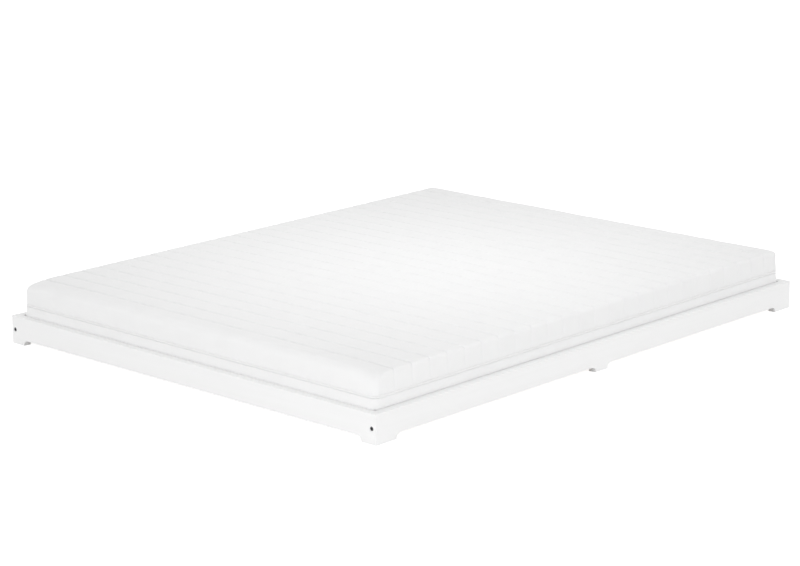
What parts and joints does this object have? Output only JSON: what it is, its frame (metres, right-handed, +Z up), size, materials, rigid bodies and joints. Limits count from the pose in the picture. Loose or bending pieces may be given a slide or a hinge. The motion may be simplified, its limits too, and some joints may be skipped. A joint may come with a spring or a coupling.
{
  "type": "low futon bed",
  "caption": "Low double bed: white lacquered board frame on short shaped feet, slat roll on ledges and a middle beam, and a zipped foam mattress with a cross-channelled quilted cover.",
  "frame": {"origin": "on the floor, under the middle of the bed", "axes": "+Y along the bed towards the head end, +X across it to the right seen from the foot end, +Z up"},
  "size_m": [1.66, 2.06, 0.207],
  "materials": {
    "lacquer": "satin",
    "pine": "matte",
    "slat_pine": "matte",
    "beech": "matte",
    "dark_steel": "satin",
    "zinc": "satin",
    "strap": "matte",
    "foam": "matte",
    "quilt": "matte",
    "cover": "matte",
    "zip_tape": "matte",
    "slider": "satin"
  },
  "bodies": {
    "frame": {"foot_board": "lacquer", "head_board": "lacquer", "left_side_rail": "lacquer", "right_side_rail": "lacquer", "corner_bolts": "dark_steel", "barrel_nuts": "zinc", "corner_dowels": "beech", "left_ledge": "pine", "right_ledge": "pine", "ledge_screws": "zinc", "centre_beam": "pine", "beam_brackets": "zinc", "bracket_screws": "zinc"},
    "slat_base": {"slat_01": "slat_pine", "slat_02": "slat_pine", "slat_03": "slat_pine", "slat_04": "slat_pine", "slat_05": "slat_pine", "slat_06": "slat_pine", "slat_07": "slat_pine", "slat_08": "slat_pine", "slat_09": "slat_pine", "slat_10": "slat_pine", "slat_11": "slat_pine", "slat_12": "slat_pine", "slat_13": "slat_pine", "slat_14": "slat_pine", "slat_15": "slat_pine", "slat_16": "slat_pine", "slat_17": "slat_pine", "slat_18": "slat_pine", "slat_19": "slat_pine", "slat_20": "slat_pine", "left_strap": "strap", "right_strap": "strap", "strap_staples": "zinc"},
    "mattress": {"mattress_core": "foam", "mattress_cover_top": "quilt", "mattress_cover_bottom": "cover", "cover_zip": "zip_tape"},
    "slider": {"zip_slider": "slider"}
  },
  "joints": [
    {"name": "slat_base_lift", "type": "slide", "parent": "frame", "child": "slat_base", "axis": [0, 0, 1], "range_m": [0, 0.25]},
    {"name": "mattress_lift", "type": "slide", "parent": "slat_base", "child": "mattress", "axis": [0, 0, 1], "range_m": [0, 0.25]},
    {"name": "zip_run", "type": "slide", "parent": "mattress", "child": "slider", "axis": [1, 0, 0], "range_m": [0, 1.5]}
  ]
}
